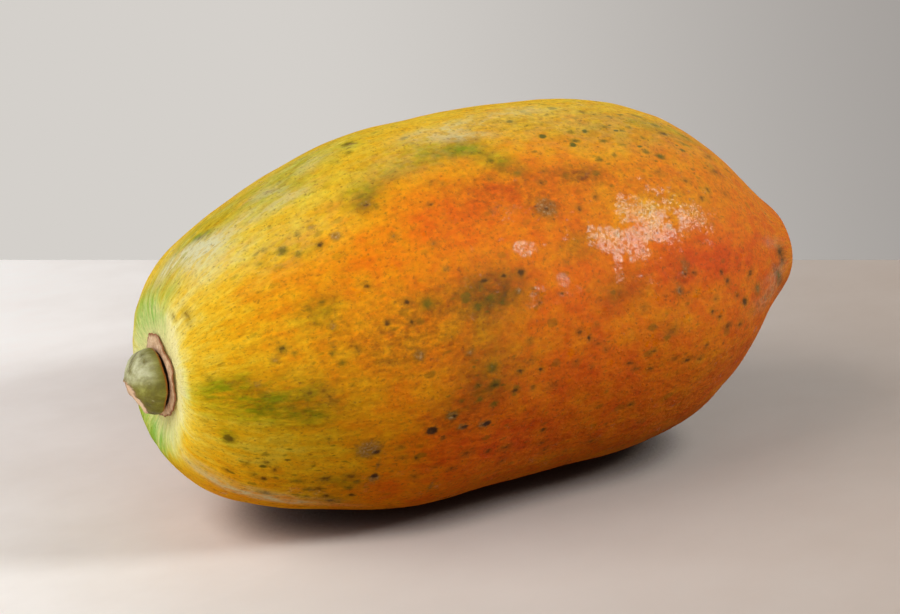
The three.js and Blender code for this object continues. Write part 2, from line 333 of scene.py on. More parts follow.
# %% Dark specks
DARK_SPECKS = [
    # the blackest, in the middle of the front
    (147.5, 153.8, 1.9, 1.8, 1), (140.7, 153.5, 1.6, 1.3, 0.8), (133.3, 153.5, 2.3, 1.2, 0.8),
    # the crest, the shoulder and the front above the middle
    (84, 126, 1.5, 1.3, 0.9), (124.3, 127, 1.2, 1, 0.7), (132, 121.5, 1.3, 1, 0.4),
    (94, 145, 1.6, 1.3, 0.7), (105.2, 153.5, 1.6, 1.4, 0.9), (97.3, 158, 1.5, 1.4, 1),
    (105.4, 159.6, 1.6, 1.4, 0.7), (62, 157.3, 1.6, 1.5, 0.5), (86, 163, 1, 1.4, 0.5),
    (74, 175.3, 1.5, 1.3, 0.4), (69, 175, 1.4, 1.3, 0.5), (75.5, 177.6, 1.4, 1.3, 0.5),
    (95, 169.6, 2.4, 0.8, 0.5, 8),
    # low on the shoulder and the front
    (75.6, 194.6, 1.2, 1, 0.5), (42.6, 197, 1.5, 1.2, 0.35, 10), (33.8, 122.4, 1.2, 2.6, 0.4),
    (28.8, 114, 1, 1.8, 0.45), (53.6, 87, 2.4, 1.1, 0.55, 50), (49.5, 210.5, 1.5, 1.2, 0.5),
    (56, 208, 1.8, 1.3, 0.5), (59.6, 212, 1.2, 1.6, 0.6), (57, 218.4, 1.8, 1.4, 0.7, 10),
    (53.4, 216.6, 1.4, 1.2, 0.5), (44, 218.4, 1.3, 1, 0.5), (78.4, 216.2, 3, 1.8, 0.6),
    (77.6, 222.6, 2.6, 1.6, 0.6), (86.6, 214.4, 2.4, 1.4, 0.55, 10), (81.6, 227, 2, 1.7, 0.7),
    (84.6, 230.4, 2.6, 1.8, 0.6), (90.4, 225.4, 1.6, 1.3, 0.9), (61, 228.8, 1.8, 1.1, 0.6),
    (116, 198.6, 1.4, 1.2, 0.9), (101.6, 201, 1.6, 1.2, 0.6), (103.6, 206, 1.6, 1.1, 0.5),
    (108.5, 206.6, 1.2, 1.3, 0.7), (117, 212, 1.3, 1, 0.5), (123.5, 214, 1.6, 1.3, 0.6),
    (110.6, 216, 1.4, 1.6, 0.4), (136.6, 209.4, 1.5, 1.3, 1), (127.4, 208, 2.2, 1.6, 0.5),
    (144, 210, 2.4, 1.6, 0.5), (158.3, 206.7, 1.5, 1.4, 0.95), (145, 217, 1.5, 1.5, 0.5),
    (160.5, 213.5, 1.4, 1.2, 0.5), (163.8, 218.6, 1.6, 1.3, 0.4), (184, 219, 2.6, 1.3, 0.45),
    (194, 204, 1.6, 1.3, 0.5), (203, 214.4, 1.6, 1.3, 0.4),
    # the front, from the middle towards the tip
    (151.3, 182.6, 1.3, 1.2, 0.95), (148.7, 187.7, 1.3, 1.2, 0.95), (143, 181.5, 1.9, 1.1, 0.8),
    (141.5, 187, 1.9, 1.4, 0.85), (147, 173.3, 1.4, 1.2, 0.6), (133, 183.4, 2.4, 1.5, 0.6),
    (126.5, 182.4, 1.5, 1.2, 0.5), (147.4, 179, 1.2, 1, 0.5), (152.3, 163.2, 1.3, 1.1, 0.5),
    (161.2, 162.2, 1.3, 0.9, 0.8), (165.8, 154, 1.2, 1, 0.5), (144.6, 133.6, 1.2, 1.1, 0.5),
    (149.4, 123.3, 1.2, 0.9, 0.5), (128.3, 120, 1.5, 1.1, 0.45), (153.5, 107.5, 1.5, 0.9, 0.4),
    (167.6, 128, 1.6, 1.3, 0.7), (170.6, 124.6, 1.3, 1, 0.5), (186, 136, 1.4, 1.2, 0.8),
    (177.6, 138.8, 1.4, 1.4, 0.7), (166.8, 174, 1.5, 1.3, 0.6), (170.6, 176.4, 1.2, 1.5, 0.8),
    (174.2, 178.4, 1.7, 0.9, 0.7, 10), (177.8, 180.8, 1.4, 1, 0.6), (173.8, 173, 1.2, 0.9, 0.5),
    (165.8, 183, 1.4, 1.1, 0.5), (172.2, 185.6, 1.1, 1, 0.5), (156.6, 188.8, 1.8, 1.2, 0.4),
    (198.4, 184.5, 1.6, 1, 0.9), (188.4, 187, 1.8, 0.9, 0.7), (191, 189.4, 1.5, 1, 0.5),
    (198, 191, 1.5, 1.1, 0.5), (208.6, 189, 1.7, 1.1, 0.6), (214.8, 190.7, 2.5, 1.1, 0.65),
    (223.5, 187.6, 1.4, 1.2, 0.7), (221, 191.6, 1.7, 1.2, 0.6), (194.2, 171, 1.7, 1.3, 0.5),
    (205.5, 179.5, 2.4, 1.4, 0.45), (217.6, 163.4, 1.6, 1, 0.7), (232, 164.9, 1.2, 1.4, 0.9),
    (235.2, 168, 1.5, 1.9, 0.7), (227.6, 172.6, 1.4, 1, 0.5), (225.5, 176.6, 1.2, 1.4, 0.6),
    (229.5, 179, 1.6, 1, 0.7), (235, 183, 2.6, 1.4, 0.8), (243, 184.6, 2.2, 1.3, 0.6),
    (240.6, 173.6, 1.7, 1.2, 0.7, 20), (246, 177, 2.6, 1.9, 0.95, 20), (252, 167.6, 3, 1.4, 0.7, -25),
    (257.6, 174.4, 2, 1.4, 0.6),
    # the crest near the tip
    (203.6, 100.3, 1.6, 1.4, 0.7), (227, 102.5, 3, 1.3, 0.6, 20), (231, 112.6, 3, 1.5, 0.7),
    (252.5, 118, 3, 1.2, 0.5, -30), (228, 133, 1.8, 1, 0.6), (217, 130, 1.8, 1.2, 0.4),
    (238.5, 136, 1.5, 1.4, 0.6), (232.5, 139.6, 1.6, 1.2, 0.8), (249.5, 136.4, 2, 1.2, 0.4),
    (250, 126, 2.6, 1.6, 0.35),
    # dark arch at the blossom tip
    (295, 163, 5, 2.2, 0.6), (297, 170, 3.4, 1.8, 0.5),
    # the hidden side
    (199, 350, 1.4, 1.2, 0.9), (120, 15, 1.5, 1.3, 0.8), (176, 60, 1.4, 1.2, 0.9), (88, 70, 1.2, 1.1, 0.6),
    (150, 310, 1.6, 1.3, 0.9), (226, 340, 1.5, 1.2, 0.7), (101, 285, 1.4, 1.2, 0.8),
    (133, 66, 1.7, 1.3, 0.6), (210, 25, 1.9, 1.2, 0.7),
]

# %% Green freckles
GREEN_FRECKLES = [
    # the dark green one near the stalk
    (42, 196.6, 2.6, 2.1, 1.3, 10),
    # the crest and the shoulder
    (72, 121.6, 3, 2.4, 0.9), (76.4, 125.6, 2.2, 1.7, 0.7), (67, 117.6, 1.8, 1.5, 0.6),
    (63.4, 122, 2.4, 1.4, 0.5), (69, 127, 3, 1.4, 0.4), (79, 118.6, 2, 1.4, 0.6),
    (103.6, 116, 3.4, 1.4, 0.7), (106.6, 121.6, 2, 1.6, 0.7), (111.6, 155.6, 3.4, 2.8, 0.8),
    (78, 145.6, 2.6, 1.4, 0.6), (73, 146, 2, 1.6, 0.5), (75, 152, 1.4, 1.2, 0.5), (65.6, 160, 2, 1.6, 0.6),
    (62, 157.3, 2, 1.8, 0.8), (78, 163, 1.8, 1.8, 0.6), (80.6, 167, 2.4, 1.8, 0.7),
    (83, 174.6, 1.6, 1.2, 0.5), (36, 162.6, 2.2, 1.4, 0.5),
    # the middle of the front
    (125, 174.6, 2.2, 1.6, 0.5), (131.7, 178, 3, 2.6, 0.8), (133, 183.3, 3, 2.2, 0.9),
    (126.5, 182.4, 2, 1.7, 0.6), (127.6, 187, 2.2, 1.7, 0.7), (133.8, 190, 2.8, 2.2, 0.8),
    (120.6, 186, 2, 1.4, 0.5), (118, 190.4, 3.4, 2, 0.7), (128.6, 160.2, 2, 1.7, 0.9),
    (133.6, 158.4, 2.2, 1.7, 0.6), (138, 160.6, 2, 1.7, 0.5), (131, 155.6, 2.6, 1.3, 0.6),
    # the crest above it, and low on the shoulder
    (114.2, 89.6, 3, 2.6, 0.8), (111, 95.6, 2.4, 2, 0.6), (45.4, 90, 1.7, 2, 0.6), (69, 218, 4.4, 2, 0.6),
    (61, 217, 2, 1.2, 0.6, 10), (54.4, 223, 2.6, 1.2, 0.6), (74, 223, 3.4, 1.8, 0.7),
    (90, 217.6, 2.6, 1.7, 0.7), (88, 221, 3, 1.7, 0.7), (75, 228, 3, 1.4, 0.6), (88, 231.4, 2.4, 1.4, 0.6),
    (55, 203, 2.6, 1.2, 0.6), (72.4, 208.6, 1.7, 1.6, 0.6),
    # the crest near the tip
    (189.6, 115, 3, 1.6, 0.9, 10), (191, 111, 2.4, 1.5, 0.8, 10), (201, 116.4, 2.6, 1.4, 0.8),
    (196.6, 112, 2, 1.1, 0.5, 10), (206, 110, 2.8, 1.4, 0.8, 10), (212, 112.6, 2, 1.3, 0.7),
    (216, 111, 1.9, 1.4, 0.8), (218.6, 116, 1.7, 1.6, 0.8), (207.6, 118.6, 3, 1.2, 0.6),
    (207, 102.6, 3, 1.4, 0.5), (212.4, 104.4, 2.2, 1.5, 0.6), (194.6, 123.4, 2.2, 1.8, 0.8),
    (201.6, 122.5, 1.8, 1.5, 0.7), (216, 121.8, 2.2, 1.8, 0.9), (221.6, 123.8, 3, 1.9, 1, 10),
    (290.5, 178.5, 5, 1.6, 0.6, 30), (190.6, 128, 2.2, 1.4, 0.7), (194.6, 133, 1.7, 1.2, 0.6),
    (239, 116, 5, 1.4, 0.7, 10), (231, 108, 4, 1.6, 0.6, 10), (245, 110, 5, 1.8, 0.5, 20),
    (220, 107.6, 2.6, 1.1, 0.6, 10), (225, 119, 2.2, 1.1, 0.4), (198, 104, 2.4, 1.1, 0.5, 10),
    (194, 91, 2.4, 1.4, 0.5, 10), (131, 98.6, 3.4, 1.5, 0.7, -20), (153.6, 117.4, 2, 1.7, 0.8),
    (160.4, 124, 2.6, 1.7, 0.8), (152, 113.6, 1.8, 1.1, 0.5), (178, 127.6, 2.4, 1.6, 0.6),
    # the hidden side
    (196, 70, 2.2, 1.3, 0.8), (182, 62, 2.4, 1.4, 0.7), (206, 55, 2, 1.3, 0.9), (215, 72, 2.6, 1.3, 0.8),
    (150, 20, 2.4, 1.6, 0.8), (160, 28, 2, 1.4, 0.7), (120, 318, 2.6, 1.7, 0.9), (130, 325, 2.2, 1.5, 0.8),
    (98, 348, 2.6, 1.6, 0.8),
]

# %% Soft patches
GREEN_PATCHES = [
    # the unripe streak below the stalk
    (36, 172, 9, 5, 0.3), (45, 175, 17, 8, 0.5, 8), (62, 178, 16, 8, 0.62, 6), (64, 184, 28, 15, 0.2, 6),
    (74, 184, 9, 4, 0.3), (44, 166, 8, 3, 0.3, -12), (42, 196, 3.4, 2.8, 0.7), (54, 202, 18, 7, 0.08),
    # low on the shoulder
    (75, 220, 18, 7, 0.24, 4), (88, 218, 7, 5, 0.35), (84, 229, 9, 3.6, 0.5, 10),
    # pale green round the stalk end
    (25, 60, 8, 14, 1), (26, 292, 9, 19, 1.1), (23, 92, 3, 6, 0.15), (32, 98, 8, 4, 0.35),
    (46, 78, 20, 8, 0.55, -10), (54, 86, 5, 2.4, 0.7, 50), (46, 90, 3, 3, 0.3),
    # freckled strip on the crest
    (72, 121, 13, 7, 0.2), (80, 126, 6, 3, 0.3), (80, 96, 26, 12, 0.42, 4), (92, 86, 26, 9, 0.4),
    (104, 117, 8, 6, 0.42), (104, 120.5, 4.6, 3.6, 0.3), (114, 90, 5, 3.4, 0.3),
    (112, 114, 9, 3.4, 0.2, -8),
    # greenest stretch of the crest
    (122, 108, 18, 8, 0.32, -6), (140, 108, 16, 7, 0.5), (150, 112, 8, 4, 0.5, 25),
    (158, 120, 8, 4, 0.75, 40),
    # olive patches on the front
    (77.5, 148, 6.5, 5.5, 0.5), (134, 157.4, 14, 8, 1), (112, 156, 6, 5, 0.35), (130, 178, 13, 11, 0.45),
    (134, 187, 12, 8, 0.2), (100, 166, 10, 6, 0.12), (118, 188, 12, 6, 0.3), (184, 127, 10, 3.4, 0.5, 6),
    (172.5, 150, 6, 4.4, 0.42), (188, 164, 9, 5, 0.36), (181, 167, 6, 4, 0.3), (118, 113, 30, 3.6, 0.3, -4),
    (204, 178, 8, 5, 0.22),
    # freckled crest near the tip
    (208, 110, 26, 12, 0.35, 8), (236, 109, 18, 4.6, 0.42, 10), (290, 179, 9, 2.8, 0.9, 32),
    # the hidden side
    (60, 20, 28, 8, 0.6), (48, 335, 26, 9, 0.7), (120, 352, 24, 8, 0.35), (74, 300, 24, 8, 0.5),
    (196, 32, 20, 7, 0.35), (150, 58, 28, 7, 0.3), (110, 262, 18, 9, 0.3), (215, 300, 14, 7, 0.25),
]
RIPENESS_PATCHES = [
    # golden crest
    (66, 80, 44, 32, -0.22), (132, 86, 44, 40, -0.38), (214, 88, 54, 38, -0.41), (150, 116, 10, 6, -0.08),
    (50, 112, 26, 10, -0.06),
    # the reddest flush, and the paler cheek beside it
    (130, 131, 20, 8, 0.08), (146, 128, 12, 6, 0.05), (96, 136, 18, 7, 0.07), (226, 161, 22, 6, 0.12),
    (212, 143, 30, 9, -0.06), (172, 150, 30, 8, -0.05), (220, 141, 32, 9, -0.1), (262, 158, 30, 12, 0.05),
    # low on the front, with the orange wedge
    (190, 197, 14, 11, 0.1), (126, 206, 22, 8, 0.1), (150, 205, 16, 9, 0.1), (100, 222, 8, 8, 0.16),
    # the middle of the front and the shoulder
    (168, 188, 14, 8, 0.05), (112, 172, 26, 11, -0.03), (124, 166, 16, 6, -0.07), (142, 168, 12, 5, -0.06),
    (194, 174, 14, 7, -0.08), (72, 205, 24, 13, -0.08), (54, 196, 18, 10, -0.08), (48, 238, 24, 8, 0.06),
    (78, 137, 18, 8, 0.05),
    # the hidden side
    (120, 20, 60, 24, -0.12), (190, 320, 50, 20, 0.12), (120, 285, 40, 18, 0.08),
]
WAX_AND_SHEEN_PATCHES = [
    # rubbed wax and painted sheen on the shoulder and the crest
    (50, 98, 9, 6, 1.15, 20), (45, 84, 11, 3.6, 1.2, 35), (40, 76, 8, 6, 0.5), (66, 99, 12, 4.4, 0.5),
    (80, 92, 8, 4, 0.5, 30), (84, 102, 9, 3, 0.45), (98, 91, 9, 4, 0.35), (50, 112, 14, 4, 0.3),
    (146, 99, 14, 4.4, 0.6), (150, 105, 10, 2.4, 0.5, 12), (176, 95, 16, 4.4, 0.35),
    (205, 106, 52, 15, 0.12, 4), (122, 108, 20, 8, 0.12), (72, 118, 22, 10, 0.12),
    # pale lines low on the shoulder, a painted reflection of the table
    (57, 233, 26, 2.2, 1.1, 3), (60, 228.5, 20, 1, 0.35, 3), (44, 225, 16, 0.9, 0.35, 4),
    # tan streaks towards the tip
    (283, 174, 18, 2.4, 0.2), (277, 182, 20, 4, 0.24), (286, 156, 14, 2.2, 0.16),
    # the hidden side
    (60, 350, 20, 9, 0.5), (180, 290, 20, 8, 0.3),
]
HAZE_PATCHES = [
    # the front and the crest
    (132, 158, 16, 9, 0.45), (131, 182, 17, 13, 0.42), (108, 168, 20, 12, 0.3), (102, 159, 26, 14, 0.6),
    (60, 146, 20, 12, 0.28), (150, 127, 20, 10, 0.6), (208, 136, 36, 16, 0.38), (84, 176, 22, 14, 0.2),
    (92, 203, 10, 10, 0.2), (120, 194, 14, 5, 0.6, 6), (80, 221, 15, 7, 0.1), (77.5, 148, 8, 6, 0.3),
    (104, 119.5, 6, 5, 0.25), (72, 121, 12, 6, 0.12), (184, 128, 9, 3.4, 0.9, 6),
    (165, 136.5, 7.5, 6.5, 0.55), (172, 150, 8, 5, 0.5), (188, 164, 10, 6, 0.4), (211, 165, 6, 8, 0.5),
    (166, 100, 30, 10, 0.5), (200, 112, 34, 10, 0.25, 6), (210, 94, 10, 6, 0.3),
    # smudges near the blossom tip
    (295, 162, 6, 2.6, 1.2), (297.5, 169, 3.6, 3, 0.9), (289, 178, 9, 2.4, 1, 30), (276, 183, 20, 3, 0.8),
    (284, 172, 18, 1.8, 0.6), (258, 177, 9, 5, 0.5, 15),
    # the crest and the hidden side
    (252, 126, 6, 3, 0.4), (150, 330, 22, 10, 0.4), (90, 20, 16, 10, 0.3),
]
POLISHED_PATCHES = [
    # the broken shine on the cheek
    (200, 140.5, 7, 5, 1.3, 10), (204, 146.5, 4.5, 4.5, 1), (190, 151.5, 8, 4.4, 1.1),
    (186, 158, 2.2, 5, 1), (208, 150, 8.5, 3, 1), (220, 146.5, 3.4, 3.2, 1.1), (227.5, 147, 3.4, 6.5, 1.1),
    (215, 137, 7, 4.4, 0.55, 30), (236, 143, 5, 7, 0.4), (179, 146, 9, 5, 0.5),
    # two small ones beside it
    (151, 147, 3.6, 2.8, 1.2), (163, 158.5, 2, 1.6, 1.5),
    # the hidden side
    (140, 30, 20, 12, 0.6), (210, 330, 16, 10, 0.6),
]
FRECKLED_PATCHES = [
    # the crest and the front
    (208, 112, 40, 14, 1.7, 6), (74, 120, 14, 8, 0.45), (66, 208, 34, 18, 0.85), (130, 182, 18, 14, 0.8),
    (132, 158, 16, 10, 0.5), (88, 165, 40, 12, 0.25), (200, 175, 44, 24, 0.35), (150, 210, 40, 14, 0.3),
    # the hidden side
    (190, 50, 50, 26, 0.7), (120, 340, 50, 26, 0.6),
]
print("listed", len(SCARS + SCAR_CORES + DARK_SPECKS + GREEN_FRECKLES), "marks by address")

# %% [markdown]
# ## Relief
#
# The skin of a papaya is never quite even. Broad swells follow the lobes, a fine orange peel breaks up
# every reflection, scars stand up like thin crusts and old specks are tiny pits. The skin puckers round
# the stalk and sinks in at the very tip. All of it is real relief: each point of the net moves in or out,
# by a fraction of a millimetre nearly everywhere. Under the collar the skin stays as it is, and where the
# fruit lies on the table it stays flat.

# %% Raise and sink the skin
WAVES = [
    # broad swells: height in mm, size of the lumps in mm, seed, stretch
    (0.34, 30, 3, 1), (0.26, 13, 5, 1.4), (0.13, 7, 17, 1),
    # orange peel
    (0.05, 4.6, 7, 1.3), (0.03, 2.6, 9, 1),
]
CRUST_HEIGHT, CORE_DEPTH, SPECK_DEPTH = 0.22, 0.3, 0.16
PUCKERS, PUCKER_HEIGHT = 16, 0.08
COLLAR_EDGE = (12, 18)  # walks between which the skin comes out from under the collar
TIP_DENT, TIP_DENT_REACH = 1.1, 3.2
TIP_FOLDS, TIP_FOLD_HEIGHT, TIP_FOLD_PLACE, TIP_FOLD_REACH = 5, 0.2, 7, 4


def raise_skin():
    """Height of the relief at each point, in mm."""
    angle, to_tip = np.radians(TURN), SKIN_LENGTH - WALK
    waves = sum(height * lumps(size, seed, stretch) for height, size, seed, stretch in WAVES)
    crust = CRUST_HEIGHT * rise_between(nearest(SCARS), 0, 0.5) * (1 + 0.7 * lumps(1.8, seed=11))
    cores = CORE_DEPTH * rise_between(nearest(SCAR_CORES), 0, 0.6)
    specks = SPECK_DEPTH * rise_between(nearest(DARK_SPECKS), 0, 0.6)
    near_stalk = rise_between(WALK, 14, 19) * (1 - rise_between(WALK, 24, 44))
    pucker = near_stalk * PUCKER_HEIGHT * np.sin(PUCKERS * angle + 2.4 * lumps(9, seed=13))
    dent = TIP_DENT * np.exp(-((to_tip / TIP_DENT_REACH) ** 2))
    fold_band = np.exp(-(((to_tip - TIP_FOLD_PLACE) / TIP_FOLD_REACH) ** 2))
    folds = TIP_FOLD_HEIGHT * np.cos(TIP_FOLDS * angle) * fold_band
    return rise_between(WALK, *COLLAR_EDGE) * (waves + crust - cores - specks + pucker - dent + folds)


relief = raise_skin()
skin = skin + relief[..., None] * outward(skin)
skin[..., 2] = np.maximum(skin[..., 2], 0)
print("relief runs from", relief.min().round(2), "to", relief.max().round(2), "mm")


# %% [markdown]
# ## The skin as a mesh
#
# The net becomes one closed mesh of four-sided faces, with a small fan over each pole. Its address
# numbers double as texture coordinates, and every painted field rides along as a named number on each
# corner, which the material reads later. This keeps the paint sharp however the fruit is lit or turned.

# %% Make a mesh from a net
NET_MARGIN, RING_MARGIN = 0.002, 0.01  # free border of the texture square


def piece_from(name, points, faces, texture_places, fields):
    """A smooth-shaded mesh of points in mm, with named fields for its material."""
    mesh = bpy.data.meshes.new(name)
    mesh.from_pydata((points * MM).tolist(), [], faces)
    mesh.uv_layers.new(name="OFBake").data.foreach_set("uv", texture_places.ravel())
    for field, values in fields.items():
        kind, key = ("FLOAT_VECTOR", "vector") if values.ndim == 2 else ("FLOAT", "value")
        mesh.attributes.new(field, kind, "POINT").data.foreach_set(key, values.astype(np.float32).ravel())
    mesh.shade_smooth()
    piece = bpy.data.objects.new(name, mesh)
    bpy.context.scene.collection.objects.link(piece)
    print(name, "has", len(mesh.vertices), "points")
    return piece


def texture_from(corners, rows, columns, margin):
    """Texture places of all face corners, inside the margin."""
    shares = np.array([corner for face in corners for corner in face], float) / (rows, columns)
    return margin + (1 - 2 * margin) * shares[:, ::-1]


def with_poles(grid):
    """The net's values in one row, followed by the middle of its first and of its last ring."""
    return np.concatenate([grid.reshape(-1, *grid.shape[2:]), [grid[0].mean(axis=0), grid[-1].mean(axis=0)]])


def net_piece(name, net, fields):
    """A piece from a net that closes round its columns, with a fan over each end."""
    rows, columns = net.shape[:2]
    faces, corners = [], []
    first_pole, last_pole = rows * columns, rows * columns + 1
    last = (rows - 1) * columns
    for i in range(rows - 1):
        for j in range(columns):
            k = (j + 1) % columns
            faces.append((i * columns + j, (i + 1) * columns + j, (i + 1) * columns + k, i * columns + k))
            corners.append(((i, j), (i + 1, j), (i + 1, j + 1), (i, j + 1)))
    for j in range(columns):
        k = (j + 1) % columns
        faces += [(first_pole, j, k), (last_pole, last + k, last + j)]
        corners.append(((0, j), (0, j), (0, j + 1)))
        corners.append(((rows - 1, j), (rows - 1, j + 1), (rows - 1, j)))
    painted = {field: with_poles(values) for field, values in fields.items()}
    places = texture_from(corners, rows - 1, columns, NET_MARGIN)
    return piece_from(name, with_poles(net), faces, places, painted)


# %% [markdown]
# ## Paint the fields
#
# Ripeness is read off the walk, because the fruit ripens from its tip to its stalk, and the front between
# the pale end and the yellow skin wanders a few millimetres. The other fields are the lists of marks,
# spread over the net. One more field is a place on a barrel: patterns drawn there narrow towards both
# ends, as the fibres of the skin do, and never smear where the fruit turns round its ends.

# %% Paint fields and make the skin
RIPENING = {  # walk: ripeness
    0: 0, 19: 0.02, 23: 0.1, 28: 0.32, 32: 0.41, 40: 0.48, 60: 0.55, 80: 0.61,
    100: 0.7, 120: 0.81, 150: 0.86, 220: 0.86, 270: 0.87, 333: 0.82,
}
UNEVEN_FRONT = 4.5  # mm by which the ripening front wanders to and fro
BARREL_RADIUS = 64  # mm
SCAR_REACH, SCAR_LOBES = 5.0, [(5, 0.5, 0), (11, 0.4, 60)]  # blossom scar, mm; lobes: count, size, start
BARE_NECK, STALK_END = (22, 42), (14, 40)  # walks between which freckles start and the stalk end stops
EVEN_FRECKLES = 0.25  # scattered freckles that the whole skin has


def paint_fields():
    """Every field that the skin's material reads."""
    angle = np.radians(TURN)
    front = WALK + UNEVEN_FRONT * lumps(11, seed=23)
    ripeness = np.interp(front, list(RIPENING), list(RIPENING.values())) + soft_patches(RIPENESS_PATCHES)
    barrel = np.stack([WALK, BARREL_RADIUS * np.cos(angle), BARREL_RADIUS * np.sin(angle)], axis=-1)
    lobes = [size * np.cos(count * angle + math.radians(start)) for count, size, start in SCAR_LOBES]
    scar = SCAR_REACH + sum(lobes)
    return {
        "barrel_place": barrel * MM,
        "ripeness": ripeness,
        "green": soft_patches(GREEN_PATCHES),
        # whitish rubbed wax, in places painted sheen and a painted reflection of the table
        "wax_and_sheen": soft_patches(WAX_AND_SHEEN_PATCHES),
        "haze": soft_patches(HAZE_PATCHES),
        "polish": soft_patches(POLISHED_PATCHES),
        "freckled": (EVEN_FRECKLES + soft_patches(FRECKLED_PATCHES)) * rise_between(WALK, *BARE_NECK),
        "freckle": nearest(GREEN_FRECKLES),
        "speck": nearest(DARK_SPECKS),
        "scar": nearest(SCARS),
        "core": nearest(SCAR_CORES),
        "streaked": 0.14 - 0.08 * rise_between(WALK, 40, 110) + 0.06 * rise_between(WALK, 240, 290),
        "stalk_end": 1 - rise_between(WALK, *STALK_END),
        "blossom_end": np.clip(1 - (SKIN_LENGTH - WALK) / scar, 0, 1),
    }


papaya_skin = net_piece("papaya_skin", skin, paint_fields())


# %% [markdown]
# ## Small tools for making materials
#
# A material in Blender is a tree of nodes. Adding them one by one by hand is slow to read, so a few
# helpers do the wiring: they add a node, do sums, and blend two colours. Colours are written as red,
# green and blue from 0 to 255, as a paint chart gives them, and turned into the linear numbers that light
# uses.

# %% Node helpers
def colour(red, green, blue):
    """A paint-chart colour as the linear numbers that a material takes."""
    shares = [value / 255 for value in (red, green, blue)]
    linear = [s / 12.92 if s <= 0.04045 else ((s + 0.055) / 1.055) ** 2.4 for s in shares]
    return (*linear, 1)


def plug(tree, socket, value):
    """Gives a socket a fixed value, or links it where the value is another node's output."""
    if isinstance(value, bpy.types.NodeSocket):
        tree.links.new(value, socket)
    else:
        socket.default_value = value


def fill(tree, node, sockets):
    """Plugs a value into each of these sockets of a node."""
    for name, value in sockets.items():
        plug(tree, node.inputs[name], value)
    return node


def add(tree, kind, sockets=(), **settings):
    """Adds a node, with its settings and with what goes into its sockets."""
    node = tree.nodes.new(kind)
    for name, value in settings.items():
        setattr(node, name, value)
    return fill(tree, node, dict(sockets))


def maths(tree, operation, *values, clamp=False):
    """The result of one piece of arithmetic on numbers and outputs."""
    return add(tree, "ShaderNodeMath", enumerate(values), operation=operation, use_clamp=clamp).outputs[0]


def times(tree, first, second, clamp=False):
    """One value times another."""
    return maths(tree, "MULTIPLY", first, second, clamp=clamp)


def sum_of(tree, start, *parts, clamp=False):
    """A start value plus every (output, amount) pair multiplied out, kept from 0 to 1 if it is clamped."""
    total = start
    for number, (output, amount) in enumerate(parts, start=1):
        at_end = number == len(parts)
        total = maths(tree, "MULTIPLY_ADD", output, amount, total, clamp=clamp and at_end)
    return total


def step_between(tree, value, low, high):
    """0 below low, 1 above high, with a smooth step between."""
    sockets = {"Value": value, "From Min": low, "From Max": high}
    return add(tree, "ShaderNodeMapRange", sockets, interpolation_type="SMOOTHSTEP").outputs[0]


def blend(tree, share, first, second, how="MIX"):
    """Two colours blended: share 0 gives the first and 1 the second."""
    sockets = {0: share, 6: first, 7: second}
    return add(tree, "ShaderNodeMix", sockets, data_type="RGBA", blend_type=how).outputs[2]


def field(tree, name):
    """A field that was painted on the mesh."""
    return add(tree, "ShaderNodeAttribute", attribute_name=name).outputs["Fac"]


def ramp(tree, value, stops):
    """Colours along a scale: {place: paint-chart colour}."""
    node = add(tree, "ShaderNodeValToRGB", {0: value})
    elements = node.color_ramp.elements
    while len(elements) < len(stops):
        elements.new(1)
    for element, (place, shade) in zip(elements, sorted(stops.items())):
        element.position = place
        element.color = colour(*shade)
    return node.outputs[0]


def bump(tree, height, strength, depth):
    """Fine relief that only the light sees, this many millimetres deep."""
    sockets = {"Strength": strength, "Distance": depth * MM, "Height": height}
    return add(tree, "ShaderNodeBump", sockets).outputs[0]


# %% [markdown]
# ## Two patterns that every finish shares
#
# Skin, stalk and collar are all plant surfaces, so all three need cloudy mottling and small scattered
# specks. Each pattern is a node group: a little tree with named sockets that is built once and used with
# its own sizes. Mottling is layered noise. Specks come from a cell pattern: every cell may hold one dot,
# and a random number of the cell says whether it does and how big it is.

# %% The mottle and speck groups
NUMBER = "NodeSocketFloat"


def group_with(name, result, **numbers):
    """A node group with a place, these number sockets and one result."""
    group = bpy.data.node_groups.new(name, "ShaderNodeTree")
    group.interface.new_socket("Place", in_out="INPUT", socket_type="NodeSocketVector")
    for socket, value in numbers.items():
        made = group.interface.new_socket(socket.replace("_", " "), in_out="INPUT", socket_type=NUMBER)
        made.default_value = value
    group.interface.new_socket(result, in_out="OUTPUT", socket_type=NUMBER)
    return group, group.nodes.new("NodeGroupInput").outputs, group.nodes.new("NodeGroupOutput").inputs


def stretched(tree, place, size, stretch):
    """Places counted in pattern sizes, drawn out along the fruit."""
    per_metre = maths(tree, "DIVIDE", 1000, size)
    along = maths(tree, "DIVIDE", per_metre, stretch)
    scale = add(tree, "ShaderNodeCombineXYZ", {0: along, 1: per_metre, 2: per_metre}).outputs[0]
    return add(tree, "ShaderNodeVectorMath", {0: place, 1: scale}, operation="MULTIPLY").outputs[0]


def make_mottle():
    group, given, result = group_with("plant mottle", "Level", Size_mm=5, Stretch=1, Layers=3)
    cells = stretched(group, given["Place"], given["Size mm"], given["Stretch"])
    layers = {"Vector": cells, "Scale": 1, "Detail": given["Layers"], "Roughness": 0.6}
    noise = add(group, "ShaderNodeTexNoise", layers).outputs[0]
    group.links.new(sum_of(group, -1.2, (noise, 2.4)), result["Level"])
    return group


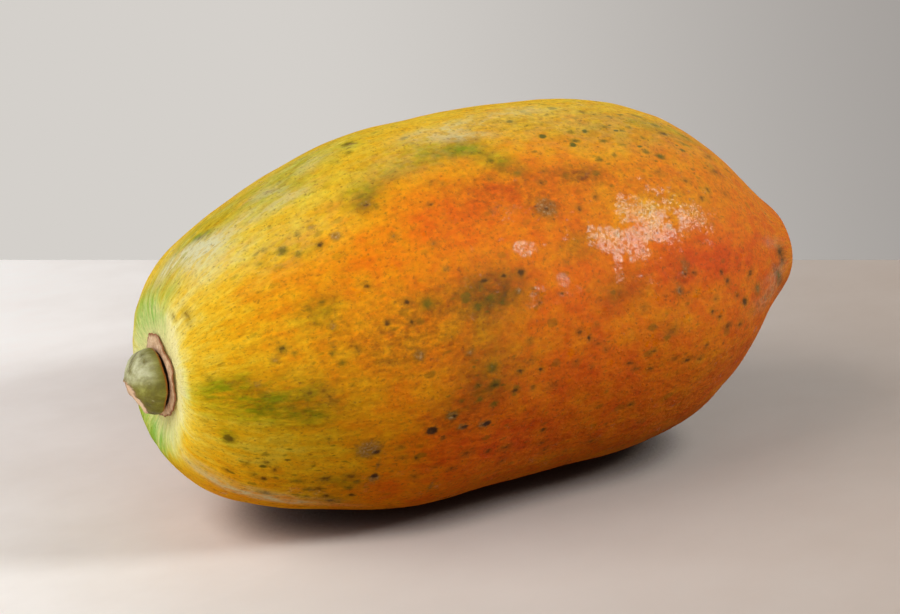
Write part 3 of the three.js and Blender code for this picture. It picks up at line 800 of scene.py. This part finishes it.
def make_specks():
    numbers = {"Spacing_mm": 5, "Stretch": 1, "Share": 0.4, "Size": 0.3, "Softness": 0.1}
    group, given, result = group_with("plant specks", "Mask", **numbers)
    cells = stretched(group, given["Place"], given["Spacing mm"], given["Stretch"])
    ragged = add(group, "ShaderNodeTexNoise", {"Vector": cells, "Scale": 2.5, "Detail": 2}).outputs["Color"]
    shift = {0: ragged, 1: (0.3, 0.3, 0.3), 2: cells}
    shifted = add(group, "ShaderNodeVectorMath", shift, operation="MULTIPLY_ADD").outputs[0]
    cell = add(group, "ShaderNodeTexVoronoi", {"Vector": shifted, "Scale": 1}).outputs
    luck = add(group, "ShaderNodeSeparateColor", {0: cell["Color"]}).outputs
    held = maths(group, "LESS_THAN", luck[0], given["Share"])
    reach = times(group, given["Size"], sum_of(group, 0.4, (luck[1], 0.8)))
    inner = maths(group, "SUBTRACT", reach, given["Softness"])
    dot = step_between(group, cell["Distance"], reach, inner)
    group.links.new(times(group, dot, held), result["Mask"])
    return group


MOTTLE, SPECKS = make_mottle(), make_specks()
print("made the groups", MOTTLE.name, "and", SPECKS.name)


# %% Use the patterns
def grouped(tree, group, place, **sockets):
    """The output of one of the shared patterns, with its own values."""
    node = add(tree, "ShaderNodeGroup", node_tree=group)
    named = {name.replace("_", " "): value for name, value in sockets.items()}
    return fill(tree, node, {"Place": place, **named}).outputs[0]


def mottle(tree, place, size, stretch=1, layers=4):
    """Cloudy mottling, about -1 to 1, with clouds of this size in mm."""
    return grouped(tree, MOTTLE, place, Size_mm=size, Stretch=stretch, Layers=layers)


def specks(tree, place, spacing, stretch, share, size, soft):
    """A mask of small dots: spacing in mm, share of the cells that hold one, size and softness in cells."""
    numbers = {"Spacing_mm": spacing, "Stretch": stretch, "Share": share, "Size": size, "Softness": soft}
    return grouped(tree, SPECKS, place, **numbers)


def dots_over(tree, place, below, strength, shade, **numbers):
    """Scattered small dots of one colour."""
    return blend(tree, times(tree, specks(tree, place, **numbers), strength), below, colour(*shade))


def new_material(name):
    """A material with only its shader, and the place of each point on the piece."""
    material = bpy.data.materials.new(name)
    material.use_nodes = True
    tree = material.node_tree
    place = add(tree, "ShaderNodeTexCoord").outputs["Object"]
    return material, tree, tree.nodes["Principled BSDF"], place


def wear(piece, material):
    """Gives a piece its material."""
    piece.data.materials.append(material)
    print(piece.name, "wears", material.name, "of", len(material.node_tree.nodes), "nodes")


# %% [markdown]
# ## The colours of the skin
#
# A papaya turns from green through yellow to orange as it ripens, so its ground colour is a scale, read
# at the painted ripeness plus some mottling: big clouds, fine lengthwise streaks and small blotches. Over
# it lie the grain of the skin, the olive-green patches that lag behind and the brownish haze. These three
# act as filters and let the ground colour through. Freckles and specks come next, then the corky scars
# with their dark cores, the thin whitish wax where it was rubbed, which in places is painted sheen and a
# painted reflection of the table, and last the small dry scar that the flower left at the tip.

# %% Ground colour
RIPENESS_SCALE = {
    0: (252, 244, 176), 0.16: (248, 234, 130), 0.32: (247, 210, 58), 0.46: (250, 192, 24),
    0.60: (248, 166, 4), 0.74: (246, 140, 0), 0.87: (242, 114, 0), 1: (230, 86, 0),
}


def ground_colour(tree, place):
    clouds = mottle(tree, place, size=24, stretch=1.5, layers=3)
    streaks = times(tree, mottle(tree, place, size=5, stretch=5), field(tree, "streaked"))
    blotches = mottle(tree, place, size=6, stretch=1.2)
    ripe = sum_of(tree, field(tree, "ripeness"), (clouds, 0.1), (streaks, 1), (blotches, 0.17))
    return ramp(tree, ripe, RIPENESS_SCALE)


# %% Grain, green, haze and bloom
def grain_over(tree, place, below):
    """The close grain of the skin: pale and dark dapple, fine lengthwise fibre and tiny brown pores."""
    dapple = mottle(tree, place, size=1.7, stretch=1.4)
    fibre = mottle(tree, place, size=2, stretch=7, layers=3)
    pores = specks(tree, place, spacing=1.9, stretch=1.2, share=0.55, size=0.26, soft=0.2)
    share = sum_of(tree, 0.26, (dapple, 0.62), (fibre, 0.25), (pores, 0.65), clamp=True)
    share = times(tree, share, sum_of(tree, 1, (field(tree, "stalk_end"), -0.7)))
    return blend(tree, share, below, colour(210, 188, 160), "MULTIPLY")


def green_over(tree, place, below):
    """Olive-green that lags behind, in lengthwise wisps and dabs that filter the colour under them."""
    wisps = mottle(tree, place, size=7, stretch=2.2)
    dapple = mottle(tree, place, size=2.4, stretch=1.5, layers=3)
    share = times(tree, field(tree, "green"), sum_of(tree, 0.8, (wisps, 0.8), (dapple, 0.5)), clamp=True)
    green = blend(tree, field(tree, "stalk_end"), colour(148, 198, 78), colour(148, 206, 140))
    return blend(tree, share, below, green, "MULTIPLY")


def haze_over(tree, place, below):
    """Brownish haze of many tiny dots."""
    grain = mottle(tree, place, size=2, stretch=1.3, layers=5)
    share = times(tree, field(tree, "haze"), sum_of(tree, 0.5, (grain, 1.3)), clamp=True)
    return blend(tree, share, below, colour(176, 168, 150), "MULTIPLY")


def wax_and_sheen_over(tree, place, below):
    """Whitish wax in rubbed scribbles, in places painted sheen and a painted reflection, and how much of it
    there is.
    """
    scribble = mottle(tree, place, size=7, stretch=2, layers=5)
    worn = step_between(tree, maths(tree, "ABSOLUTE", scribble), 0.22, 0.02)
    share = times(tree, field(tree, "wax_and_sheen"), sum_of(tree, 0.3, (worn, 0.5)), clamp=True)
    return blend(tree, share, below, colour(222, 216, 170)), share


# %% Freckles, specks and scars
def ragged_mark(tree, place, name, low, high):
    """A painted cone cut off at a height, with a frayed edge."""
    fray = mottle(tree, place, size=1.3)
    return step_between(tree, sum_of(tree, field(tree, name), (fray, 0.22)), low, high)


def mark_over(tree, place, name, low, high, strength, below, shade):
    """Ragged marks of one colour."""
    share = times(tree, ragged_mark(tree, place, name, low, high), strength)
    return blend(tree, share, below, colour(*shade))


def freckles_over(tree, place, below):
    """Placed and scattered freckles, green and drawn out along the fruit."""
    placed = times(tree, ragged_mark(tree, place, "freckle", -0.08, 0.75), 0.95)
    dots = specks(tree, place, spacing=5.2, stretch=1.5, share=0.45, size=0.3, soft=0.16)
    dashes = specks(tree, place, spacing=2.6, stretch=2, share=0.5, size=0.29, soft=0.24)
    scattered = times(tree, maths(tree, "MAXIMUM", dots, times(tree, dashes, 0.85)), field(tree, "freckled"))
    share = maths(tree, "MAXIMUM", placed, times(tree, scattered, 0.9), clamp=True)
    return blend(tree, share, below, colour(102, 90, 8))


def specks_over(tree, place, below):
    """Dark dots of dried latex, placed and scattered."""
    fine = {"spacing": 2.6, "stretch": 1.2, "share": 0.5, "size": 0.24, "soft": 0.16}
    below = mark_over(tree, place, "speck", -0.7, 0.3, 0.35, below, (126, 92, 18))
    below = dots_over(tree, place, below, 0.28, (140, 58, 2), **fine)
    return mark_over(tree, place, "speck", 0, 0.6, 0.92, below, (74, 46, 8))


def scars_over(tree, place, below):
    """Corky greyish tan crusts with an olive-brown halo, pale flecks and dark cores, and where they are."""
    below = mark_over(tree, place, "scar", -0.15, 0.4, 0.45, below, (128, 92, 20))
    grain = mottle(tree, place, size=1)
    crust = ragged_mark(tree, place, "scar", 0.15, 0.65)
    share = times(tree, crust, sum_of(tree, 0.56, (grain, 0.7)), clamp=True)
    cork = {0.2: (116, 80, 40), 0.5: (156, 114, 66), 0.8: (186, 150, 104)}
    below = blend(tree, share, below, ramp(tree, maths(tree, "ADD", grain, 0.5), cork))
    return mark_over(tree, place, "core", 0, 0.6, 0.92, below, (56, 30, 18)), share


def blossom_over(tree, place, below):
    """The dry scar that the flower left at the tip: dark and frayed at its edge, corky in the middle."""
    scar = ragged_mark(tree, place, "blossom_end", 0, 0.22)
    cork = {0: (112, 70, 24), 0.4: (70, 46, 26), 0.85: (150, 116, 80)}
    return blend(tree, scar, below, ramp(tree, field(tree, "blossom_end"), cork))


# %% [markdown]
# ## How the skin shines
#
# Most of the wax is dull, but here and there it lies smooth and mirrors the window as a broken, speckled
# patch. So a mask divides dull skin from smooth: coarse and fine mottling, less the painted polish, cut
# off at a height. Small gaps break the smooth skin up, and hazy skin is duller. The roughness follows that
# mask and rises on scars and on the whitish wax, which in places is painted sheen. Three layers of very
# fine bump stand for the pits, the dimples and the hair-fine crackle of the wax, which are smaller than the
# mesh can carry.

# %% The skin material
SMOOTH_WAX, DULL_WAX = 0.12, 0.70  # roughness of the smooth skin, and what dull skin adds
WAX_SHINE = 0.08  # how strongly the wax mirrors at all


def skin_roughness(tree, place, scars, wax_and_sheen):
    """Smooth in the polished patches, broken up by small gaps, and dull elsewhere."""
    coarse = mottle(tree, place, size=8, stretch=1.1, layers=5)
    fine = mottle(tree, place, size=2.4)
    gaps = specks(tree, place, spacing=1.7, stretch=1, share=0.7, size=0.42, soft=0.16)
    uneven = sum_of(tree, coarse, (fine, 0.75), (field(tree, "polish"), -0.9))
    dull = sum_of(tree, step_between(tree, uneven, -0.5, -0.3), (gaps, 1), clamp=True)
    dull = sum_of(tree, dull, (field(tree, "haze"), 0.6), clamp=True)
    return sum_of(tree, SMOOTH_WAX, (dull, DULL_WAX), (scars, 0.3), (wax_and_sheen, 0.25))


def skin_bump(tree, place, scars):
    """Hair-fine crackle, doubled on scars, with tiny pits and shallow dimples."""
    pits = specks(tree, place, spacing=1.3, stretch=1, share=0.5, size=0.32, soft=0.24)
    crackle = mottle(tree, place, size=1.3, stretch=1.2)
    dimples = mottle(tree, place, size=4, stretch=1.3, layers=2)
    height = sum_of(tree, crackle, (pits, -1.2), (dimples, 2.5), (times(tree, scars, crackle), 2))
    return bump(tree, height, strength=1, depth=0.1)


def make_skin_material():
    material, tree, shader, _ = new_material("ripe papaya skin")
    place = add(tree, "ShaderNodeAttribute", attribute_name="barrel_place").outputs["Vector"]
    paint = ground_colour(tree, place)
    for layer in (grain_over, green_over, haze_over, freckles_over, specks_over):
        paint = layer(tree, place, paint)
    paint, scars = scars_over(tree, place, paint)
    paint, wax_and_sheen = wax_and_sheen_over(tree, place, paint)
    fill(tree, shader, {
        "Base Color": blossom_over(tree, place, paint),
        "Roughness": skin_roughness(tree, place, scars, wax_and_sheen),
        "Normal": skin_bump(tree, place, scars),
        "Specular IOR Level": WAX_SHINE,
    })
    return material


wear(papaya_skin, make_skin_material())
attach(papaya_skin, "root")
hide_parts("fruit")


# %% [markdown]
# ## The stalk stub
#
# The stub is a short knob of green stalk. Its foot is a neck that the flared rim overhangs, it is softly
# five-sided, and a knife took its tip off at a slant, which left a pale face with frayed brown ends of
# fibre. A lathe would give the plain knob. Here each ring of a net gets its own radius instead, so the
# ridges, the rim and the cut are all one skin.

# %% Shape the stub
STUB_FOOT = np.array([stub_high[0], stalk_pole[1], stalk_pole[2]])
STUB_RADIUS = (stub_high[1] - stub_low[1]) / 2
STUB_LENGTH = stub_high[0] - stub_low[0]
STUB_ROWS, STUB_COLUMNS = 90, 180
STUB_OUTLINE = [  # height in mm and share of the radius: neck, flared rim, dome
    (0, 0.70), (1.2, 0.71), (1.9, 0.80), (2.4, 0.925), (2.9, 0.985), (3.5, 1), (4.2, 0.995),
    (5.4, 0.985), (7.2, 0.93), (9.2, 0.79), (11.2, 0.54), (12.6, 0.29), (13.3, 0),
]
SIDES, SIDE_TURN, SIDE_HEIGHT = 5, 1.75, 0.04  # the five soft sides: count, radians, share of the radius
RIBS, RIB_HEIGHT = 23, 0.09
CUT_HEIGHT, CUT_RISE = 12.45, 0.5  # the knife's plane: height on the axis in mm, and rise per mm upwards
FIBRE_ENDS = [(88, 1.3), (150, 0.9), (205, 1.1), (262, 0.7), (318, 0.8), (20, 0.6)]  # turn, length in mm
FIBRE_WIDTH, EDGE_WIDTH = 7, 0.5  # half widths: degrees of a fibre end, mm of the frayed edge


def along_outline(outline, count, closed=False):
    """Both coordinates of this many evenly spaced points along an outline."""
    points = np.array(outline, float)
    walk = np.concatenate([[0], np.cumsum(np.hypot(*np.diff(points, axis=0).T))])
    even = np.linspace(0, walk[-1], count, endpoint=not closed)
    return np.interp(even, walk, points[:, 0]), np.interp(even, walk, points[:, 1])


def at_stalk_end(height, reach, turn):
    """Points of a piece that stands on the stalk end, pointing away from the fruit."""
    angle = np.radians(turn)
    return STUB_FOOT + np.stack([-height, reach * np.cos(angle), reach * np.sin(angle)], axis=-1)


def shape_stub():
    heights, reaches = along_outline(np.array(STUB_OUTLINE) * (1, STUB_RADIUS), STUB_ROWS)
    turn, height = np.meshgrid(np.arange(STUB_COLUMNS) * 360 / STUB_COLUMNS, heights)
    angle = np.radians(turn)
    sides = SIDES * (angle - SIDE_TURN)
    reach = reaches[:, None] * (1 + SIDE_HEIGHT * (np.cos(sides) - 0.2 * np.cos(2 * sides)) - 0.012)
    reach = reach + RIB_HEIGHT * np.cos(RIBS * angle + 0.4 * height) * np.clip(reach / STUB_RADIUS, 0, 1)
    knife = CUT_HEIGHT + CUT_RISE * reach * np.sin(angle)
    above = height - knife
    cut = rise_between(above, -0.15, 0.15)
    edge = np.exp(-(((above - 0.15) / EDGE_WIDTH) ** 2))
    near = [(size, ((turn - at + 180) % 360 - 180) / FIBRE_WIDTH) for at, size in FIBRE_ENDS]
    fibres = sum(size * np.exp(-(gap**2)) for size, gap in near)
    height = np.minimum(np.minimum(height, knife) + edge * fibres * 0.8, STUB_LENGTH)
    height = height + cut * 0.12 * np.cos(14 * angle + 3 * reach) * np.exp(-above / 3)
    fields = {"cut": cut, "edge": edge, "height": height / CUT_HEIGHT, "up": np.sin(angle)}
    return at_stalk_end(height, reach, turn), fields


stub_net, stub_fields = shape_stub()
stalk_stub = net_piece("cut_stalk_stub", stub_net[:, ::-1], {k: v[:, ::-1] for k, v in stub_fields.items()})


# %% The stub's material
def green_stalk(tree, place, clouds, grain):
    """Olive green, with dry wax and a painted highlight on the upper side towards the tip, pale scratch
    marks that are partly painted glints, painted shade on the neck, and brown pores.
    """
    tone = sum_of(tree, 0.46, (clouds, 0.4), (grain, 0.2))
    green = ramp(tree, tone, {0.15: (80, 68, 0), 0.5: (124, 120, 26), 0.85: (176, 178, 92)})
    # Pale wax on the upper side towards the tip: partly real bloom, partly a painted highlight.
    topside = step_between(tree, field(tree, "up"), 0, 0.9)
    end_side = step_between(tree, field(tree, "height"), 0.2, 0.8)
    wax = times(tree, times(tree, topside, end_side), sum_of(tree, 0.4, (clouds, 1.1)), clamp=True)
    # Pale scratch marks drawn out along the stub, partly painted glints.
    scratches_and_glints = {"spacing": 1.7, "stretch": 3, "share": 0.3, "size": 0.28, "soft": 0.2}
    pores = {"spacing": 2.4, "stretch": 1, "share": 0.4, "size": 0.25, "soft": 0.1}
    rim = step_between(tree, field(tree, "height"), 0.30, 0.20)
    # Painted shade: the neck under the flared rim is painted nearly black-brown.
    under = step_between(tree, field(tree, "height"), 0.19, 0.12)
    paint = blend(tree, wax, green, colour(228, 230, 196))
    paint = dots_over(tree, place, paint, 0.55, (214, 212, 168), **scratches_and_glints)
    paint = blend(tree, rim, paint, colour(186, 112, 30))
    paint = blend(tree, under, paint, colour(48, 30, 16))
    return dots_over(tree, place, paint, 0.5, (110, 84, 40), **pores)


def make_stalk_material():
    material, tree, shader, place = new_material("green stalk")
    clouds = mottle(tree, place, size=5, stretch=1.6)
    grain = mottle(tree, place, size=1.4, stretch=5)
    fibre = mottle(tree, place, size=0.9, stretch=0.4, layers=3)
    face = ramp(tree, sum_of(tree, 0.5, (fibre, 0.4)), {0.1: (206, 150, 112), 0.7: (250, 222, 190)})
    frayed = times(tree, field(tree, "edge"), sum_of(tree, 0.6, (fibre, 0.8)), clamp=True)
    paint = blend(tree, field(tree, "cut"), green_stalk(tree, place, clouds, grain), face)
    fill(tree, shader, {
        "Base Color": blend(tree, frayed, paint, colour(138, 90, 50)),
        "Roughness": sum_of(tree, 0.5, (clouds, 0.08)),
        "Normal": bump(tree, sum_of(tree, fibre, (grain, 0.6)), strength=0.6, depth=0.2),
    })
    return material


wear(stalk_stub, make_stalk_material())
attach(stalk_stub, "root")
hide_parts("stalk_stub")


# %% [markdown]
# ## The corky collar
#
# Between fruit and stalk lies what is left of the calyx: a thin dry collar with five ragged lobes, one of
# them much longer than the rest. It is bent out of one thin ring whose outer edge wanders in and out, and
# its lip curls up a little.

# %% Shape the collar
COLLAR_BORE, COLLAR_REACH, COLLAR_HEIGHT, COLLAR_CURL = 8.8, 13.0, 1.25, 0.35
COLLAR_ROWS, COLLAR_COLUMNS = 44, 240
COLLAR_LOBES = [  # turn, length in mm, narrowness
    (72, 3, 6), (142, 0.9, 14), (214, 0.6, 14), (286, 1.1, 14), (358, 1.2, 14),
]
COLLAR_TEETH = [(17, 0.22, 1.3), (41, 0.14, 0)]  # count, length in mm, start in radians
COLLAR_SECTION = [  # share of the way outwards and share of the height, round the section
    (0, 0), (0.3, 0), (0.65, 0.02), (0.9, 0.1), (1, 0.3), (0.97, 0.55),
    (0.85, 0.72), (0.6, 0.95), (0.3, 1), (0.08, 0.9), (0, 0.6),
]


def shape_collar():
    turn = np.arange(COLLAR_COLUMNS) * 360 / COLLAR_COLUMNS
    angle = np.radians(turn)
    reach = COLLAR_REACH + sum(size * np.sin(angle * count + start) for count, size, start in COLLAR_TEETH)
    for at, size, narrowness in COLLAR_LOBES:
        reach = reach + size * np.maximum(np.cos(np.radians(turn - at)), 0) ** narrowness
    out, rise = along_outline(COLLAR_SECTION + COLLAR_SECTION[:1], COLLAR_ROWS, closed=True)
    out, rise = out[:, None], rise[:, None]
    radius = COLLAR_BORE + out * (reach - COLLAR_BORE)
    curl = COLLAR_CURL * out**3 * (1 + np.sin(angle * 7))
    height = rise * COLLAR_HEIGHT * (1 + 0.12 * np.sin(angle * 23) * out) + curl
    return at_stalk_end(height, radius, turn + 0 * radius), {"edge": out + 0 * radius}


def ring_piece(name, net, fields):
    """A piece from a net that closes both ways, as a ring does."""
    rows, columns = net.shape[:2]
    faces, corners = [], []
    for i in range(rows):
        for j in range(columns):
            a, b = (i + 1) % rows, (j + 1) % columns
            faces.append((i * columns + j, i * columns + b, a * columns + b, a * columns + j))
            corners.append(((i, j), (i, j + 1), (i + 1, j + 1), (i + 1, j)))
    painted = {field: values.ravel() for field, values in fields.items()}
    places = texture_from(corners, rows, columns, RING_MARGIN)
    return piece_from(name, net.reshape(-1, 3), faces, places, painted)


calyx_collar = ring_piece("dry_calyx_collar", *shape_collar())


# %% The collar's material
def make_collar_material():
    material, tree, shader, place = new_material("dry calyx")
    clouds = mottle(tree, place, size=3)
    grain = mottle(tree, place, size=0.8)
    tone = sum_of(tree, 0.5, (clouds, 0.5), (grain, 0.25))
    cork = ramp(tree, tone, {0.1: (158, 112, 80), 0.5: (220, 184, 146), 0.9: (252, 232, 204)})
    edge = step_between(tree, sum_of(tree, field(tree, "edge"), (clouds, 0.12)), 0.78, 0.98)
    # Painted shade: the inner part of the collar, next to the stub, is painted dark brown where the gap
    # under the stalk's rim lies in shade.
    inner = step_between(tree, field(tree, "edge"), 0.32, 0.05)
    paint = blend(tree, edge, cork, colour(150, 96, 58))
    fill(tree, shader, {
        "Base Color": blend(tree, inner, paint, colour(70, 42, 26)),
        "Roughness": sum_of(tree, 0.8, (grain, 0.08)),
        "Normal": bump(tree, grain, strength=0.7, depth=0.3),
    })
    return material


wear(calyx_collar, make_collar_material())
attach(calyx_collar, "root")
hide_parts("calyx_ring")


# %% [markdown]
# ## The table top
#
# The fruit lies on a plain pale table top in front of a plain grey room. The table darkens softly to the
# right with painted shade, an ambient-occlusion node paints shade just under the fruit, and towards the
# left the table also gives off a little light of its own, which is painted light, for the camera and for
# reflections. What the table throws back on to the fruit is set apart from how it looks: rays that carry
# light off it meet a warmer, darker colour than the camera does.

# %% The table top
TABLE_BACK, TABLE_NEAR, TABLE_HALF_WIDTH = 0.944, -1.6, 2.0  # from the camera, along the ground and across
CAMERA_PLACE = Vector((-0.3573, -0.6014, 0.3168))
CAMERA_AIM = Vector((-0.0109, -0.0014, 0.066))
view = CAMERA_AIM - CAMERA_PLACE
view_on_ground = Vector((view.x, view.y, 0)).normalized()
across_view = Vector((view_on_ground.y, -view_on_ground.x, 0))
camera_foot = Vector((CAMERA_PLACE.x, CAMERA_PLACE.y, 0))
BLACK = colour(0, 0, 0)


def make_table_material():
    material, tree, shader, place = new_material("pale table")
    clouds = mottle(tree, place, size=46, stretch=1.5, layers=5)
    aside = add(tree, "ShaderNodeVectorMath", {0: place, 1: across_view}, operation="DOT_PRODUCT")
    far_side = step_between(tree, aside.outputs["Value"], -0.3, 0.32)
    tone = sum_of(tree, far_side, (clouds, 0.1))
    # Painted shade: the table's colour darkens towards the right, with random clouds over it.
    paint = ramp(tree, tone, {0: (252, 246, 243), 0.3: (222, 211, 203), 1: (186, 167, 154)})
    # Painted contact shade: where the fruit is close above, the table's colour is darkened to dark brown.
    open_sky = add(tree, "ShaderNodeAmbientOcclusion", {"Distance": 0.016}, samples=8).outputs["AO"]
    paint = blend(tree, step_between(tree, open_sky, 0.8, 0.1), paint, colour(64, 44, 32), "MULTIPLY")
    bounce = ramp(tree, far_side, {0.1: (250, 236, 214), 0.35: (120, 100, 80), 0.7: (44, 36, 28)})
    # Painted light: towards the left the table gives off a little light of its own, seen by the camera and
    # in reflections, and less of it just under the fruit.
    glow = blend(tree, open_sky, BLACK, ramp(tree, far_side, {0.1: (84, 81, 80), 0.45: (0, 0, 0)}))
    seen = maths(tree, "SUBTRACT", 1, add(tree, "ShaderNodeLightPath").outputs["Is Diffuse Ray"])
    fill(tree, shader, {
        "Base Color": blend(tree, seen, bounce, paint),
        "Roughness": 0.8,
        "Specular IOR Level": 0.05,
        "Emission Color": blend(tree, seen, BLACK, glow),
        "Emission Strength": 1,
    })
    return material


def make_table():
    ends = [(TABLE_NEAR, -1), (TABLE_BACK, -1), (TABLE_BACK, 1), (TABLE_NEAR, 1)]
    sides = [(ahead, side * TABLE_HALF_WIDTH) for ahead, side in ends]
    corners = [tuple(camera_foot + view_on_ground * ahead + across_view * aside) for ahead, aside in sides]
    mesh = bpy.data.meshes.new("table_top")
    mesh.from_pydata(corners, [], [(0, 1, 2, 3)])
    table = bpy.data.objects.new("table_top", mesh)
    bpy.context.scene.collection.objects.link(table)
    wear(table, make_table_material())


make_table()


# %% [markdown]
# ## Light and camera
#
# The room is the world colour, which fills the shadows faintly and looks like a pale grey wall, with painted
# shade that darkens it towards +X. One big soft lamp high on the left and a little behind models the top of
# the fruit, a weak one fills the front and another the far side. The window stands on the right, and it is
# three lamps. A small one gives its light and no reflection. A broad one and a tall narrow one give only
# reflections, in the smooth patches of the wax. Keeping light and reflection apart leaves the dull skin its
# full colour.

# %% The room
def make_room():
    world = bpy.data.worlds.new("grey room")
    world.use_nodes = True
    tree = world.node_tree
    tree.nodes.clear()
    seen = maths(tree, "SUBTRACT", 1, add(tree, "ShaderNodeLightPath").outputs["Is Diffuse Ray"])
    direction = add(tree, "ShaderNodeTexCoord").outputs["Generated"]
    way = add(tree, "ShaderNodeSeparateXYZ", {0: direction}).outputs
    # Painted shade: the wall seen by the camera and in reflections darkens towards +X.
    wall = blend(tree, step_between(tree, way[0], 0.4, 0.74), colour(212, 208, 203), colour(158, 153, 149))
    soft = add(tree, "ShaderNodeBackground", {"Color": colour(236, 238, 242), "Strength": 0.13})
    shown = add(tree, "ShaderNodeBackground", {"Color": wall, "Strength": 1})
    both = add(tree, "ShaderNodeMixShader", {0: seen, 1: soft.outputs[0], 2: shown.outputs[0]})
    add(tree, "ShaderNodeOutputWorld", {0: both.outputs[0]})
    bpy.context.scene.world = world


make_room()


# %% The lamps
WARM_WHITE, COOL_WHITE = (1, 0.98, 0.95), (0.95, 0.98, 1)


def soft_lamp(name, place, width, height, watts, warmth, lights=True, shines=True):
    """A square lamp that faces the fruit. It can do without its light or without its reflection."""
    lamp = bpy.data.lights.new(name, "AREA")
    lamp.shape = "RECTANGLE"
    lamp.size, lamp.size_y = width, height
    lamp.energy = watts
    lamp.color = warmth
    holder = bpy.data.objects.new(name, lamp)
    holder.location = place
    holder.rotation_euler = (CAMERA_AIM - Vector(place)).to_track_quat("-Z", "Y").to_euler()
    holder.visible_diffuse = lights
    holder.visible_glossy = shines
    bpy.context.scene.collection.objects.link(holder)
    print("lamp", name, "of", watts, "W")


soft_lamp("soft_lamp", (-1.3, 0.065, 1.22), 1.3, 1.3, 21.7, WARM_WHITE)
soft_lamp("window", (0.90, -0.79, 0.87), 0.28, 0.18, 12, (0.9, 0.98, 1), shines=False)
soft_lamp("window_glint", (0.968, -0.678, 0.891), 1.0, 0.5, 50, (0.5, 0.92, 1), lights=False)
soft_lamp("side_glint", (0.682, -0.939, 0.783), 0.26, 0.8, 16, (0.55, 0.92, 1), lights=False)
soft_lamp("fill", (-0.80, -1.10, 0.20), 0.8, 0.8, 5.3, WARM_WHITE)
soft_lamp("back_lamp", (0.6, 1.15, 0.55), 0.9, 0.9, 2.4, COOL_WHITE, shines=False)

# %% The camera
camera = bpy.data.objects.new("camera", bpy.data.cameras.new("camera"))
camera.data.lens = 80
camera.data.sensor_width = 36
camera.location = CAMERA_PLACE
camera.rotation_euler = view.to_track_quat("-Z", "Y").to_euler()
bpy.context.scene.collection.objects.link(camera)
bpy.context.scene.camera = camera
bpy.context.scene.view_settings.view_transform = "Standard"
print("the camera stands", round(view.length, 3), "m from what it aims at")

# %% [markdown]
# ## Finish
#
# The dressed fruit has to stay as big as the plain solids were. The last step brings the scene up to date.

# %% Finish
bpy.context.view_layer.update()
